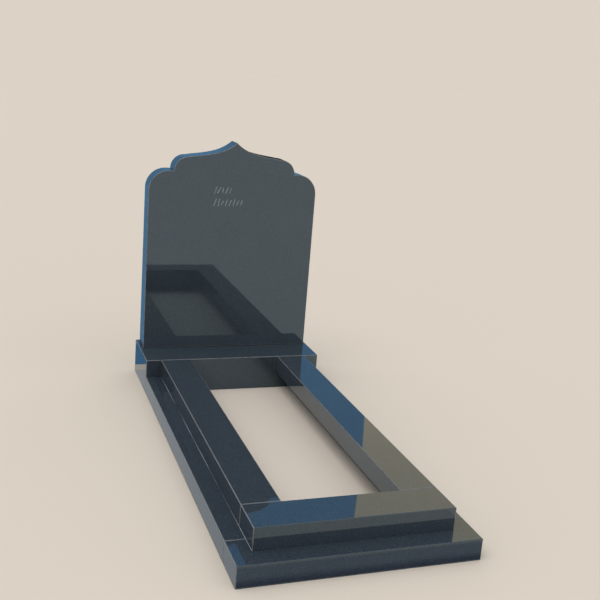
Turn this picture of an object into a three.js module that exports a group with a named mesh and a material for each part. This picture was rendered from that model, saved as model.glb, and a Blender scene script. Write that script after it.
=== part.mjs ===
// A kerbed memorial in polished black granite. An ogee headstone stands on a base block at the
// head of the grave. Two courses of kerb run forward from the base round an open bed: a lower
// course on the ground, as wide as the base, and a narrower upper frame that is set back on it by
// an even ledge.
// Millimetres, +Z up. The front is towards -Y. The origin is on the ground, under the middle.

import * as THREE from 'three';

// Kerb courses
const lowerWidth = 630;          // across the lower course, outside to outside
const lowerHeight = 58;
const lowerSideKerb = 105;       // width of each lower side kerb
const lowerFrontKerb = 112;      // depth of the lower front kerb
const sideLedge = 52;            // tread left showing beside the upper frame
const frontLedge = 56;           // tread left showing in front of the upper frame
const upperHeight = 60;
const upperSideKerb = 103;       // width of each upper side kerb
const upperFrontKerb = 113;      // depth of the upper front kerb
const bedReach = 1226;           // lower front face to the face of the base

// Base and headstone
const baseDepth = 238;
const baseOverKerb = 0.5;        // the base stands this much over the upper kerbs
const stoneWidth = 610;
const stoneHeight = 745;         // to the point of the ogee
const stoneThickness = 78;
const stoneSetback = 134;        // face of the base to face of the headstone

// Outline of the headstone, from the foot up
const shoulderSpring = 571;      // where the straight sides end
const shoulderRadius = 70;
const notchWidth = 438;          // across the two square notches
const capRadius = 50;            // the rounds above the notches
const swanReach = 66;            // how far the ogee runs on nearly level from each round
const swanRise = 11;
const pointReach = 48;           // the hollow of the ogee below the point
const pointDrop = 43;

// Finish
const arris = 2;                 // small flat taken off every edge
const bedJoint = 0.3;            // gap between stones that bear on each other
const buttJoint = 0.6;           // gap between stones that meet end to end
const outlineSteps = 12;         // straight steps in each curve of the headstone

// Places that follow from the sizes
const courseTop = lowerHeight + bedJoint + upperHeight;
const upperWidth = lowerWidth - 2 * sideLedge;
const upperFloor = lowerHeight + bedJoint;
const wholeLength = bedReach + baseDepth;
const frontFace = -wholeLength / 2;
const baseFace = frontFace + bedReach;
const baseTop = courseTop + baseOverKerb;

function granite(colour, roughness) {
  return new THREE.MeshStandardMaterial({ color: colour, roughness, metalness: 0 });
}

function namedMesh(name, geometry, material, x, y, z) {
  const mesh = new THREE.Mesh(geometry, material);
  mesh.name = name;
  mesh.position.set(x, y, z);
  return mesh;
}

// A sawn block with its eight upright and level edges flattened. Its outline is drawn in plan,
// with the corners cut, and the extrusion's bevel flattens the top and bottom edges. The block
// stands on z = 0, from x = 0 to its width and from y = 0 to its depth.
function slab(width, depth, height) {
  const cut = arris;
  const plan = new THREE.Shape();
  plan.moveTo(2 * cut, cut);
  plan.lineTo(width - 2 * cut, cut);
  plan.lineTo(width - cut, 2 * cut);
  plan.lineTo(width - cut, depth - 2 * cut);
  plan.lineTo(width - 2 * cut, depth - cut);
  plan.lineTo(2 * cut, depth - cut);
  plan.lineTo(cut, depth - 2 * cut);
  plan.lineTo(cut, 2 * cut);
  plan.closePath();
  const solid = new THREE.ExtrudeGeometry(plan, {
    depth: height - 2 * cut,
    bevelEnabled: true,
    bevelThickness: cut,
    bevelSize: cut,
    bevelSegments: 1,
  });
  solid.translate(0, 0, cut);
  return solid;
}

// Half of the headstone's outline, from the foot of the right side to the point, as x and z.
function halfOutline() {
  const side = stoneWidth / 2;
  const notch = notchWidth / 2;
  const notchHeight = shoulderSpring + shoulderRadius;
  const capStart = notch - capRadius;
  const capTop = notchHeight + capRadius;
  const points = [new THREE.Vector2(side, 0)];

  const shoulder = new THREE.EllipseCurve(
    side - shoulderRadius, shoulderSpring, shoulderRadius, shoulderRadius, 0, Math.PI / 2);
  points.push(...shoulder.getPoints(outlineSteps));

  const cap = new THREE.EllipseCurve(
    capStart, notchHeight, capRadius, capRadius, 0, Math.PI / 2);
  points.push(...cap.getPoints(outlineSteps));

  const ogee = new THREE.CubicBezierCurve(
    new THREE.Vector2(capStart, capTop),
    new THREE.Vector2(capStart - swanReach, capTop + swanRise),
    new THREE.Vector2(pointReach, stoneHeight - pointDrop),
    new THREE.Vector2(0, stoneHeight));
  points.push(...ogee.getPoints(outlineSteps).slice(1));
  return points;
}

// The headstone is its outline, extruded through its thickness, with its face towards -Y.
function headstoneSolid() {
  const right = halfOutline();
  const left = right.slice(0, -1).reverse().map((p) => new THREE.Vector2(-p.x, p.y));
  const solid = new THREE.ExtrudeGeometry(new THREE.Shape([...right, ...left]), {
    depth: stoneThickness,
    bevelEnabled: false,
  });
  solid.rotateX(Math.PI / 2);
  solid.translate(0, stoneThickness, 0);
  return solid;
}

const polished = granite(0x2b333c, 0.12);
const memorial = new THREE.Group();

// Lower course: its front kerb runs the full width, and the sides run from it to the base.
const lowerSideLength = bedReach - lowerFrontKerb - 2 * buttJoint;
const lowerSideStart = frontFace + lowerFrontKerb + buttJoint;
memorial.add(
  namedMesh('lower_kerb_front', slab(lowerWidth, lowerFrontKerb, lowerHeight), polished,
    -lowerWidth / 2, frontFace, 0),
  namedMesh('lower_kerb_left', slab(lowerSideKerb, lowerSideLength, lowerHeight), polished,
    -lowerWidth / 2, lowerSideStart, 0),
  namedMesh('lower_kerb_right', slab(lowerSideKerb, lowerSideLength, lowerHeight), polished,
    lowerWidth / 2 - lowerSideKerb, lowerSideStart, 0),
);

// Upper frame: laid out in the same way on the lower course.
const upperFront = frontFace + frontLedge;
const upperSideStart = upperFront + upperFrontKerb + buttJoint;
const upperSideLength = baseFace - buttJoint - upperSideStart;
memorial.add(
  namedMesh('upper_kerb_front', slab(upperWidth, upperFrontKerb, upperHeight), polished,
    -upperWidth / 2, upperFront, upperFloor),
  namedMesh('upper_kerb_left', slab(upperSideKerb, upperSideLength, upperHeight), polished,
    -upperWidth / 2, upperSideStart, upperFloor),
  namedMesh('upper_kerb_right', slab(upperSideKerb, upperSideLength, upperHeight), polished,
    upperWidth / 2 - upperSideKerb, upperSideStart, upperFloor),
);

// The base is one block from the ground to the kerb tops, and carries the headstone.
memorial.add(
  namedMesh('headstone_base', slab(lowerWidth, baseDepth, baseTop), polished,
    -lowerWidth / 2, baseFace, 0),
  namedMesh('headstone', headstoneSolid(), polished,
    0, baseFace + stoneSetback, baseTop + bedJoint),
);

export default memorial;
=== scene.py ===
import math

import bmesh
import bpy
from mathutils import Euler, Matrix, Vector
from mathutils.geometry import interpolate_bezier


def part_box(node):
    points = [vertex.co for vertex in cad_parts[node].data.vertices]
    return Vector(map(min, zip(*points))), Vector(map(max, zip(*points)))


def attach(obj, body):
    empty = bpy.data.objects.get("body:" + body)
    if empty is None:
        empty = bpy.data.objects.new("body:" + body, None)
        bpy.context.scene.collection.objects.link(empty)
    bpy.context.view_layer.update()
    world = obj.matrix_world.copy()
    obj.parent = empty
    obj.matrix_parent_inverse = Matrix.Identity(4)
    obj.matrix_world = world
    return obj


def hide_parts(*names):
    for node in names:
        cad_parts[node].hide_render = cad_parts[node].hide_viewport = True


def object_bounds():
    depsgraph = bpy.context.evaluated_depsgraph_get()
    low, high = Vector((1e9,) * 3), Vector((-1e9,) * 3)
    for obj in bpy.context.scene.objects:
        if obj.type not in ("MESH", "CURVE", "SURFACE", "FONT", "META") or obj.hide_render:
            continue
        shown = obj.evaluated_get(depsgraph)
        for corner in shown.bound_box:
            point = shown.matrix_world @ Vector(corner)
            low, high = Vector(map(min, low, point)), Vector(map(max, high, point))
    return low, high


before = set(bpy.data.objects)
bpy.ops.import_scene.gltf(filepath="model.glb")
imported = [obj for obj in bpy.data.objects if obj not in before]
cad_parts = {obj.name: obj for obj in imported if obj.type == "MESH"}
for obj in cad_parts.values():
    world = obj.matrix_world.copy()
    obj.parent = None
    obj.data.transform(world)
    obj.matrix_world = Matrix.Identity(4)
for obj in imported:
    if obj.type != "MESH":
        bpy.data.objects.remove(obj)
cad_low, cad_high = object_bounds()


# Lower kerbs
# The bottom course lies on the ground: a front kerb the full width and two side kerbs that run back
# from it to the base. They are slabs of black granite, polished where they show, with the upper and
# upright edges eased, most of them painted a pale grey as a painted highlight, and left from the
# saw underneath.

class Value:
    """A socket in a material's tree. Arithmetic on it adds Math nodes."""

    # A Mix node's number, vector and colour sockets share their names, so its colours go by place.
    MIX_LOW = 6
    MIX_HIGH = 7
    MIX_COLOUR = 2

    def __init__(self, tree, socket=None):
        self.tree = tree
        self.socket = socket

    def node(self, kind, settings, sockets, output=0):
        """An output of a new node, by name or number, with values or links on its inputs."""
        made = self.tree.nodes.new(kind)
        for name, setting in settings.items():
            if name == "stops":
                ramp = made.color_ramp
                while len(ramp.elements) < len(setting):
                    ramp.elements.new(1.0)
                for element, (place, colour) in zip(ramp.elements, setting):
                    element.position = place
                    element.color = (*colour, 1.0)
            else:
                setattr(made, name, setting)
        for name, value in sockets.items():
            if isinstance(value, Value):
                self.tree.links.new(value.socket, made.inputs[name])
            else:
                made.inputs[name].default_value = value
        return Value(self.tree, made.outputs[output])

    def math(self, operation, *values):
        return self.node("ShaderNodeMath", {"operation": operation}, dict(enumerate(values)))

    def __add__(self, other):
        return self.math("ADD", self, other)

    def __radd__(self, other):
        return self.math("ADD", other, self)

    def __sub__(self, other):
        return self.math("SUBTRACT", self, other)

    def __rsub__(self, other):
        return self.math("SUBTRACT", other, self)

    def __mul__(self, other):
        return self.math("MULTIPLY", self, other)

    def __rmul__(self, other):
        return self.math("MULTIPLY", other, self)

    def __abs__(self):
        return self.math("ABSOLUTE", self)

    def stepped(self, low, high):
        """0 below low, 1 above high, and smooth between."""
        limits = {"Value": self, "From Min": low, "From Max": high}
        return self.node("ShaderNodeMapRange", {"interpolation_type": "SMOOTHSTEP"}, limits)

    def mixed(self, low, high):
        """A colour between low, where this is 0, and high, where it is 1."""
        colours = {"Factor": self, self.MIX_LOW: low, self.MIX_HIGH: high}
        return self.node("ShaderNodeMix", {"data_type": "RGBA"}, colours, self.MIX_COLOUR)


BLACK_GROUND = (0.0222, 0.0312, 0.0425, 1.0)
GREY_CRYSTAL = (0.0390, 0.0535, 0.0715, 1.0)
SILVER_FLECK = (0.0850, 0.1030, 0.1220, 1.0)
# Painted highlight: the pale grey that the eased arrises take.
ARRIS_HIGHLIGHT_GREY = (0.1550, 0.1700, 0.1880, 1.0)
SAWN_DARK = (0.060, 0.066, 0.073, 1.0)
SAWN_PALE = (0.098, 0.104, 0.110, 1.0)
# Painted glint: the pale line along the foot of some kerbs.
FOOT_GLINT_PALE = (0.6000, 0.6600, 0.7200, 1.0)
COOL_GLOSS = (0.68, 0.88, 1.0, 1.0)
POLISH_IOR = 1.78
CRYSTALS_PER_METRE = 800.0
FLECKS_PER_METRE = 1150.0
SAW_CENTRE = (0.0, 0.0, -6.0)
SAW_MARKS_PER_METRE = 55.0


def new_tree(name):
    """A material with an empty tree: the material, a bare Value, and the shader's own node."""
    material = bpy.data.materials.new(name)
    material.use_nodes = True
    tree = material.node_tree
    tree.nodes.clear()
    shader = tree.nodes.new("ShaderNodeBsdfPrincipled")
    end = tree.nodes.new("ShaderNodeOutputMaterial")
    tree.links.new(shader.outputs["BSDF"], end.inputs["Surface"])
    return material, Value(tree), shader


def stone_place(tree, offset):
    """Object coordinates, moved so that no two slabs share the same piece of rock."""
    place = tree.node("ShaderNodeTexCoord", {}, {}, "Object")
    return tree.node("ShaderNodeMapping", {}, {"Vector": place, "Location": offset})


def cloud(tree, place, scale, detail):
    """Soft cloud from 0 to 1, of about this many puffs to the metre."""
    return tree.node("ShaderNodeTexNoise", {}, {"Vector": place, "Scale": scale, "Detail": detail})


def grain(tree, place, per_metre, channel):
    """A random number from 0 to 1 for each grain of the rock."""
    grains = {"Vector": place, "Scale": per_metre}
    cells = tree.node("ShaderNodeTexVoronoi", {}, grains, "Color")
    return tree.node("ShaderNodeSeparateColor", {}, {"Color": cells}, channel)


def crystals(tree, place):
    """The rock: where its silver flecks are, and its colour, which is a black ground with grey
    crystals of about a millimetre and the flecks."""
    shade = grain(tree, place, CRYSTALS_PER_METRE, "Red") + 0.5 * cloud(tree, place, 11.0, 4.0)
    ground = shade.stepped(0.45, 1.35).mixed(BLACK_GROUND, GREY_CRYSTAL)
    fleck = grain(tree, place, FLECKS_PER_METRE, "Green").stepped(0.93, 0.98)
    return fleck, fleck.mixed(ground, SILVER_FLECK)


def link(tree, value, shader, name):
    """Feeds a value that varies over the surface to a socket of the shader."""
    tree.tree.links.new(value.socket, shader.inputs[name])


def polished_granite(name, offset, marks=None):
    """Mirror polish, very slightly wavy, with faint smears left by the last wipe."""
    material, tree, shader = new_tree(name)
    place = stone_place(tree, offset)
    fleck, colour = crystals(tree, place)
    wiped = tree.node("ShaderNodeMapping", {}, {"Vector": place, "Scale": (9.0, 4.0, 9.0)})
    smear = cloud(tree, wiped, 1.0, 5.0).stepped(0.45, 0.80)
    roughness = 0.022 + 0.030 * smear + 0.02 * fleck
    wave = cloud(tree, place, 5.0, 2.0)
    if marks:
        chalk = marks(tree)
        colour = chalk.mixed(colour, CHALK)
        roughness = roughness + 0.6 * chalk
    link(tree, colour, shader, "Base Color")
    link(tree, roughness, shader, "Roughness")
    bump = tree.node("ShaderNodeBump", {}, {"Strength": 0.03, "Distance": 0.004, "Height": wave})
    link(tree, bump, shader, "Normal")
    shader.inputs["IOR"].default_value = POLISH_IOR
    shader.inputs["Specular Tint"].default_value = COOL_GLOSS
    return material


def arris_painted_highlight(name, offset):
    """A painted highlight: the eased edges are painted a pale grey in patches, so they read pale.
    """
    material, tree, shader = new_tree(name)
    place = stone_place(tree, offset)
    fleck, colour = crystals(tree, place)
    highlight_patches = cloud(tree, place, 60.0, 4.0)
    link(tree, highlight_patches.stepped(0.10, 0.60).mixed(colour, ARRIS_HIGHLIGHT_GREY), shader, "Base Color")
    link(tree, 0.30 + 0.15 * highlight_patches, shader, "Roughness")
    return material


def sawn_granite(name, offset):
    """The matt grey face that the wire saw leaves, with faint curved marks."""
    material, tree, shader = new_tree(name)
    place = stone_place(tree, offset)
    fleck, colour = crystals(tree, place)
    far = tree.node("ShaderNodeMapping", {}, {"Vector": place, "Location": SAW_CENTRE})
    arcs = tree.node("ShaderNodeTexWave", {"wave_type": "RINGS", "rings_direction": "SPHERICAL"},
                     {"Vector": far, "Scale": SAW_MARKS_PER_METRE, "Distortion": 3.0,
                      "Detail": 4.0, "Detail Scale": 0.4}, "Fac")
    blotch = cloud(tree, place, 9.0, 7.0)
    pale = (0.10 * arcs + 0.90 * blotch + 0.30 * fleck).stepped(0.25, 0.80)
    link(tree, pale.mixed(SAWN_DARK, SAWN_PALE), shader, "Base Color")
    link(tree, 0.55 + 0.12 * blotch, shader, "Roughness")
    bump = tree.node("ShaderNodeBump", {}, {"Strength": 0.2, "Distance": 0.001,
                                            "Height": 0.25 * arcs + 0.5 * blotch})
    link(tree, bump, shader, "Normal")
    return material


def foot_glint(name, offset):
    """A painted glint: a hair of pale colour along the foot of a kerb, which comes and goes along
    its length.
    """
    material, tree, shader = new_tree(name)
    place = stone_place(tree, offset)
    fleck, colour = crystals(tree, place)
    patchy = cloud(tree, place, 3.0, 6.0).stepped(0.36, 0.56)
    link(tree, patchy.mixed(colour, FOOT_GLINT_PALE), shader, "Base Color")
    shader.inputs["Roughness"].default_value = 0.6
    return material


ARRIS = 0.0020
ARRIS_SEGMENTS = 3
SHARP_ANGLE = math.radians(40)
SQUARE_ON = math.cos(math.radians(8))
ROUGHLY_ON = math.cos(math.radians(32))
# How high the painted glint along a kerb's foot reaches.
FOOT_GLINT_HEIGHT = 0.0020
POLISHED = 0
SAWN = 1
# Slot of the arrises' painted highlight.
ARRIS_HIGHLIGHT = 2
# Slot of the painted glint along a foot.
FOOT_GLINT_SLOT = 3


def looks(face, ways, closeness):
    """Whether the face looks one of the ways, by the cosine of the angle between them."""
    return any(face.normal.dot(way) > closeness for way in ways)


def ease_edges(stone, edges):
    """Rubs down the given edges, and returns the new faces."""
    eased = bmesh.ops.bevel(stone, geom=edges, offset=ARRIS, offset_type="OFFSET", affect="EDGES",
                            segments=ARRIS_SEGMENTS, profile=0.5, material=-1, clamp_overlap=True)
    return set(eased["faces"])


def finish_stone(name, stone, arrises, finishes, sawn_ways, glinted=()):
    """Makes the stone. Each face is polished, sawn where it looks a sawn way, an arris with its
    painted highlight, or a foot with its painted glint.
    """
    for face in stone.faces:
        face.smooth = True
        if face in glinted:
            face.material_index = FOOT_GLINT_SLOT
        elif face in arrises:
            face.material_index = ARRIS_HIGHLIGHT
        elif looks(face, sawn_ways, SQUARE_ON):
            face.material_index = SAWN
        else:
            face.material_index = POLISHED
    mesh = bpy.data.meshes.new(name)
    stone.to_mesh(mesh)
    stone.free()
    mesh.set_sharp_from_angle(angle=SHARP_ANGLE)
    for finish in finishes:
        mesh.materials.append(finish)
    made = bpy.data.objects.new(name, mesh)
    bpy.context.scene.collection.objects.link(made)
    normals = made.modifiers.new("flat faces stay flat", "WEIGHTED_NORMAL")
    normals.keep_sharp = True
    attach(made, "root")
    return made


def stone_finishes(name, offset, marks=None):
    """The finishes of one stone: polished, sawn, and the pale painted highlight on its arrises."""
    return [polished_granite(name + "_polish", offset, marks),
            sawn_granite(name + "_saw", offset),
            arris_painted_highlight(name + "_arris", offset)]


def kerb_slab(name, node, offset, sawn_ways, glinted_ways=(), glossy_ways=()):
    """A slab that fills its node's box, its edges eased except round its foot. A hair of pale
    colour, a painted glint, shows along the foot of the faces that look the ways given for it. The
    eased edges that look the glossy ways are polished too, and the others take a pale painted
    highlight."""
    low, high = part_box(node)
    box = Matrix.LocRotScale((low + high) / 2, None, high - low)
    glint_top = low.z + FOOT_GLINT_HEIGHT
    slab = bmesh.new()
    bmesh.ops.create_cube(slab, size=1.0, matrix=box)
    if glinted_ways:
        bmesh.ops.bisect_plane(slab, geom=slab.verts[:] + slab.edges[:] + slab.faces[:],
                               plane_co=(0, 0, glint_top), plane_no=(0, 0, 1))
    eased = [edge for edge in slab.edges
             if edge.verts[0].co.z != edge.verts[1].co.z or edge.verts[0].co.z > high.z - ARRIS]
    arrises = {face for face in ease_edges(slab, eased)
               if not looks(face, glossy_ways, ROUGHLY_ON)}
    glinted = {face for face in slab.faces
              if face.calc_center_median().z < glint_top and looks(face, glinted_ways, SQUARE_ON)}
    finishes = stone_finishes(name, offset)
    if glinted:
        finishes.append(foot_glint(name + "_bedding", offset))
    made = finish_stone(name, slab, arrises, finishes, sawn_ways, glinted)
    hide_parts(node)


UNDER = Vector((0, 0, -1))
FRONT_TOP = Vector((0, -1, 1)).normalized()
kerb_slab("bottom_front_kerb", "lower_kerb_front", (0.0, 0.0, 0.0), [UNDER], [], [FRONT_TOP])
kerb_slab("bottom_left_kerb", "lower_kerb_left", (3.1, 0.4, 0.2), [UNDER])
kerb_slab("bottom_right_kerb", "lower_kerb_right", (5.7, 1.3, 0.6), [UNDER])


# Upper kerbs
# The narrower frame that sits back on the lower course by an even ledge. Its front kerb runs the
# full width, and the side kerbs butt against it and against the base, with open arris joints.

LEFT = Vector((-1, 0, 0))
RIGHT = Vector((1, 0, 0))
kerb_slab("top_front_kerb", "upper_kerb_front", (7.3, 0.8, 1.7), [UNDER], [LEFT, RIGHT],
          [FRONT_TOP])
kerb_slab("top_left_kerb", "upper_kerb_left", (2.2, 5.9, 2.3), [UNDER], [LEFT])
kerb_slab("top_right_kerb", "upper_kerb_right", (9.1, 3.6, 0.4), [UNDER], [RIGHT])


# Base of the headstone
# One block across the head of the grave, as wide as the lower course and level with the tops of
# the upper kerbs. Its back, like its foot, is left from the saw.

BEHIND = Vector((0, 1, 0))
kerb_slab("base_block", "headstone_base", (4.4, 7.7, 3.2), [UNDER, BEHIND])


# Headstone
# An upright slab with an ogee top: a point, a hollow swan-neck sweep to each side, a round cap, a
# square notch and a round shoulder. Its face, sides and top are polished, its back is from the
# saw, and two short rows of chalk strokes are left on its face.

SHOULDER_SPRING = 0.571
SHOULDER_RADIUS = 0.070
NOTCH_WIDTH = 0.438
CAP_RADIUS = 0.050
SWAN_REACH = 0.066
SWAN_RISE = 0.011
POINT_REACH = 0.048
POINT_DROP = 0.043
ARC_STEPS = 24
SAME_POINT = 1e-6
CHALK = (0.34, 0.38, 0.40, 1.0)
CHALK_HALF_WIDTH = 0.0014
CHALK_ROWS = [
    (0.578, [(-0.069, 72, 0.030), (-0.056, 60, 0.026), (-0.042, 78, 0.022), (-0.028, 66, 0.028),
             (-0.015, 74, 0.022)]),
    (0.534, [(-0.069, 70, 0.030), (-0.055, 80, 0.028), (-0.042, 62, 0.022), (-0.028, 75, 0.026),
             (-0.014, 68, 0.024), (0.000, 76, 0.028), (0.014, 64, 0.022), (0.027, 72, 0.024)]),
]


def headstone_outline(stone, low, high):
    """The closed outline at the front of the headstone's box, from arcs, lines and the ogee."""
    face = low.y
    foot = low.z
    side = high.x
    notch = NOTCH_WIDTH / 2
    notch_height = foot + SHOULDER_SPRING + SHOULDER_RADIUS
    cap_start = notch - CAP_RADIUS
    cap_top = notch_height + CAP_RADIUS
    quarter = {"axis": (0, -1, 0), "angle": math.radians(90), "steps": ARC_STEPS}

    centre = stone.verts.new((0, face, foot))
    corner = stone.verts.new((side, face, foot))
    spring = stone.verts.new((side, face, foot + SHOULDER_SPRING))
    stone.edges.new((centre, corner))
    stone.edges.new((corner, spring))
    shoulder_centre = (side - SHOULDER_RADIUS, face, foot + SHOULDER_SPRING)
    shoulder = bmesh.ops.spin(stone, geom=[spring], dvec=(0, 0, 0), use_duplicate=False,
                              cent=shoulder_centre, **quarter)
    shoulder_end = shoulder["geom_last"][0]
    cap_foot = stone.verts.new((notch, face, notch_height))
    stone.edges.new((shoulder_end, cap_foot))
    cap = bmesh.ops.spin(stone, geom=[cap_foot], dvec=(0, 0, 0), use_duplicate=False,
                         cent=(cap_start, face, notch_height), **quarter)
    last = cap["geom_last"][0]
    ogee = interpolate_bezier((cap_start, face, cap_top),
                              (cap_start - SWAN_REACH, face, cap_top + SWAN_RISE),
                              (POINT_REACH, face, high.z - POINT_DROP),
                              (0, face, high.z), ARC_STEPS)
    for point in ogee[1:]:
        vertex = stone.verts.new(point)
        stone.edges.new((last, vertex))
        last = vertex
    bmesh.ops.mirror(stone, geom=stone.verts[:] + stone.edges[:], axis="X", merge_dist=SAME_POINT)
    bmesh.ops.remove_doubles(stone, verts=stone.verts[:], dist=SAME_POINT)


def chalk_strokes(tree):
    """How much chalk lies on the face. A row is its height and its strokes, and a stroke is its x,
    its slant in degrees and its length."""
    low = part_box("headstone")[0]
    place = tree.node("ShaderNodeTexCoord", {}, {}, "Object")
    total = None
    for height, strokes in CHALK_ROWS:
        for x, slant, length in strokes:
            centre = (x, low.y, low.z + height)
            turn = (0, -math.radians(slant), 0)
            local = tree.node("ShaderNodeMapping", {"vector_type": "TEXTURE"},
                              {"Vector": place, "Location": centre, "Rotation": turn})
            along, into, across = [
                abs(tree.node("ShaderNodeSeparateXYZ", {}, {"Vector": local}, axis))
                for axis in "XYZ"]
            line = 1 - along.stepped(length / 2 - 0.002, length / 2)
            width = 1 - across.stepped(CHALK_HALF_WIDTH * 0.6, CHALK_HALF_WIDTH * 1.6)
            face = 1 - into.stepped(0.001, 0.002)
            stroke = line * width * face
            total = stroke if total is None else total.math("MAXIMUM", total, stroke)
    return total * (0.25 + 0.5 * cloud(tree, place, 300.0, 3.0).stepped(0.40, 0.60))


def headstone():
    low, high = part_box("headstone")
    stone = bmesh.new()
    headstone_outline(stone, low, high)
    face = bmesh.ops.contextual_create(stone, geom=stone.edges[:])["faces"]
    pushed = bmesh.ops.extrude_face_region(stone, geom=face, use_keep_orig=True)["geom"]
    back = [item for item in pushed if isinstance(item, bmesh.types.BMVert)]
    bmesh.ops.translate(stone, verts=back, vec=(0, high.y - low.y, 0))
    bmesh.ops.recalc_face_normals(stone, faces=stone.faces[:])
    rims = {edge for flat in stone.faces if looks(flat, [BEHIND, -BEHIND], SQUARE_ON)
            for edge in flat.edges}
    arrises = ease_edges(stone, list(rims))
    finishes = stone_finishes("ogee_headstone", (6.4, 2.7, 5.1), chalk_strokes)
    made = finish_stone("ogee_headstone", stone, arrises, finishes, [UNDER, BEHIND])
    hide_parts("headstone")


headstone()


# Floor
# A plain pale floor that the memorial stands on. It is wide enough to meet the dome unseen.

FLOOR_HALF = 60.0
FLOOR_DROP = 0.0002
FLOOR_PALE = (0.696, 0.635, 0.563, 1.0)


def set_piece(name, sheet, material):
    """Puts a flat piece of the set in the scene."""
    mesh = bpy.data.meshes.new(name)
    sheet.to_mesh(mesh)
    sheet.free()
    mesh.materials.append(material)
    made = bpy.data.objects.new(name, mesh)
    bpy.context.scene.collection.objects.link(made)
    return made


def floor():
    ground = bmesh.new()
    bmesh.ops.create_grid(ground, x_segments=1, y_segments=1, size=FLOOR_HALF,
                          matrix=Matrix.Translation((0, 0, -FLOOR_DROP)))
    material, tree, shader = new_tree("floor_paint")
    shader.inputs["Base Color"].default_value = FLOOR_PALE
    shader.inputs["Roughness"].default_value = 1.0
    shader.inputs["Specular IOR Level"].default_value = 0.0
    set_piece("floor", ground, material)


floor()


# Studio cards
# Glowing cards that only the polish shows, placed from the sides of the memorial. Blue and warm
# ones behind it colour the upper faces, pale ones on the floor lift the headstone's face, and grey
# ones set the tone of the kerbs' front and left faces.

left = cad_low.x
right = cad_high.x
front = cad_low.y
back = cad_high.y
CARD_PLACE = back + 0.068
CARD_STEP = 0.010
CARD_HEIGHT = 1.6
CARD_LIFT = 0.001
BLUE_END = right + 0.360
FILL_FRONT = front - 0.218
FILL_BACK = back - 0.132
BLUE = (0.110, 0.292, 0.505, 1.0)
DARK_BLUE = (0.055, 0.185, 0.350, 1.0)
WARM = (0.900, 0.740, 0.480, 1.0)
FILL = (0.940, 0.865, 0.800, 1.0)
COOL_GREY = (0.470, 0.490, 0.510, 1.0)
DIM_GREY = (0.190, 0.215, 0.275, 1.0)
FRONT_GREY = (0.360, 0.370, 0.420, 1.0)
FRONT_DARK = (0.010, 0.015, 0.080, 1.0)
FRONT_FADE = 0.045
BLACK = (0.010, 0.015, 0.025, 1.0)


def card(name, low, high, colour, edge=None, fade=0.0):
    """A one-sided card between two corners. An upright one glows forwards, a level one upwards. A
    level one may turn into the edge colour along its back edge, over the depth of the fade."""
    sheet = bmesh.new()
    corners = [low, (high[0], low[1], low[2]), high, (low[0], high[1], high[2])]
    sheet.faces.new([sheet.verts.new(corner) for corner in corners])
    material, tree, shader = new_tree(name)
    from_behind = tree.node("ShaderNodeNewGeometry", {}, {}, "Backfacing")
    link(tree, 1 - from_behind, shader, "Alpha")
    shader.inputs["Base Color"].default_value = (0.0, 0.0, 0.0, 1.0)
    shader.inputs["Specular IOR Level"].default_value = 0.0
    shader.inputs["Emission Color"].default_value = colour
    if edge:
        place = tree.node("ShaderNodeTexCoord", {}, {}, "Object")
        depth = tree.node("ShaderNodeSeparateXYZ", {}, {"Vector": place}, "Y")
        glow = depth.stepped(high[1] - fade, high[1]).mixed(colour, edge)
        link(tree, glow, shader, "Emission Color")
    shader.inputs["Emission Strength"].default_value = 1.0
    made = set_piece(name, sheet, material)
    made.visible_camera = False
    made.visible_diffuse = False
    made.visible_shadow = False


card("blue_card", (left - 0.025, CARD_PLACE, 0.0), (BLUE_END, CARD_PLACE, CARD_HEIGHT), BLUE)
card("blue_card_foot", (left - 0.060, CARD_PLACE - CARD_STEP, 0.0),
     (left - 0.007, CARD_PLACE - CARD_STEP, 0.080), DARK_BLUE)
card("warm_card", (BLUE_END, CARD_PLACE, 0.0), (right + 1.185, CARD_PLACE, CARD_HEIGHT), WARM)
card("black_card", (right - 0.235, CARD_PLACE - CARD_STEP, 0.740),
     (right - 0.080, CARD_PLACE - CARD_STEP, 0.868), BLACK)
card("dim_card_left", (left - 0.505, CARD_PLACE, 0.130), (left - 0.026, CARD_PLACE, 1.050),
     DIM_GREY)
card("dim_card_front", (left - 0.015, front - 0.080, CARD_LIFT),
     (right + 0.045, front - 0.003, CARD_LIFT), FRONT_GREY, FRONT_DARK, FRONT_FADE)
card("grey_card_left", (left - 0.045, front + 0.002, CARD_LIFT),
     (left - 0.002, back - 0.002, CARD_LIFT), COOL_GREY)
card("front_fill", (-FLOOR_HALF, -FLOOR_HALF, CARD_LIFT), (FLOOR_HALF, FILL_FRONT, CARD_LIFT), FILL)
card("right_fill", (right + 0.045, FILL_FRONT, CARD_LIFT), (FLOOR_HALF, FILL_BACK, CARD_LIFT), FILL)
card("left_fill", (-FLOOR_HALF, FILL_FRONT, CARD_LIFT), (left - 0.065, FILL_BACK, CARD_LIFT), FILL)


# Light
# An even pale dome, the colour of the floor where they meet, and a broad soft light from above
# and a little from the left.

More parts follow.
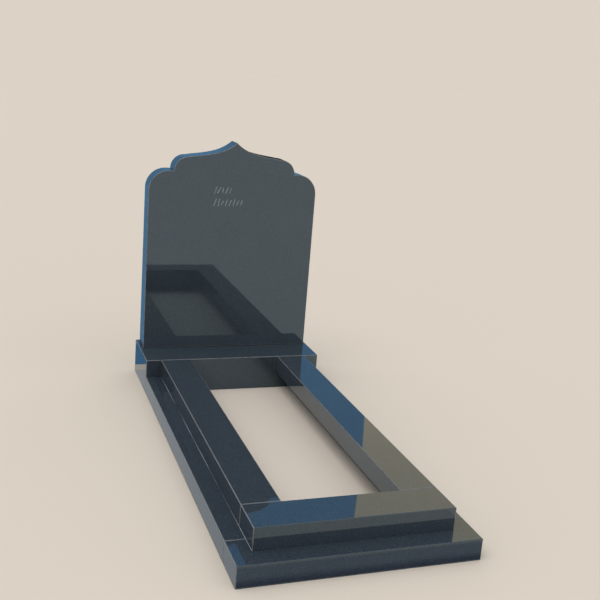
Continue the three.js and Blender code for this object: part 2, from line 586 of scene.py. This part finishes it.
HORIZON = (0.716, 0.645, 0.562)
HORIZON_TOP = 0.09
ZENITH = (0.74, 0.74, 0.74)
ZENITH_FOOT = 0.40
SUN_STRENGTH = 1.0
SUN_SPREAD = math.radians(50)
SUN_PLACE = (-1.6, -0.6, 4.0)
SUN_COLOUR = (1.0, 0.97, 0.93)


def dome():
    world = bpy.data.worlds.new("pale_dome")
    world.use_nodes = True
    bpy.context.scene.world = world
    tree = Value(world.node_tree)
    way = tree.node("ShaderNodeTexCoord", {}, {}, "Generated")
    height = tree.node("ShaderNodeSeparateXYZ", {}, {"Vector": way}, "Z")
    stops = [(0.0, HORIZON), (HORIZON_TOP, HORIZON), (ZENITH_FOOT, ZENITH), (1.0, ZENITH)]
    pale = tree.node("ShaderNodeValToRGB", {"stops": stops}, {"Fac": height})
    background = world.node_tree.nodes["Background"]
    world.node_tree.links.new(pale.socket, background.inputs["Color"])


def sun():
    data = bpy.data.lights.new("soft_sun", "SUN")
    data.energy = SUN_STRENGTH
    data.angle = SUN_SPREAD
    data.color = SUN_COLOUR
    light = bpy.data.objects.new("soft_sun", data)
    light.location = SUN_PLACE
    light.rotation_euler = (-Vector(SUN_PLACE)).to_track_quat("-Z", "Y").to_euler()
    bpy.context.scene.collection.objects.link(light)


dome()
sun()
bpy.context.scene.view_settings.view_transform = "Standard"


# Camera
# The photograph's view, from the front left, a little above, and slightly rolled. Its place and
# turn come from fitting the edges of the stones to the picture.

CAMERA_PLACE = (-0.837, -2.446, 1.159)
CAMERA_TURN = math.radians(19.94)
CAMERA_DIP = math.radians(14.85)
CAMERA_ROLL = math.radians(4.62)
FOCAL_SHARE = 1.5006
SENSOR = 36.0


def camera():
    data = bpy.data.cameras.new("camera")
    data.sensor_width = SENSOR
    data.lens = FOCAL_SHARE * SENSOR
    viewer = bpy.data.objects.new("camera", data)
    level = Euler((math.radians(90) - CAMERA_DIP, 0, -CAMERA_TURN), "XYZ").to_matrix()
    turned = level @ Matrix.Rotation(CAMERA_ROLL, 3, "Z")
    viewer.matrix_world = Matrix.Translation(CAMERA_PLACE) @ turned.to_4x4()
    bpy.context.scene.collection.objects.link(viewer)
    bpy.context.scene.camera = viewer


camera()
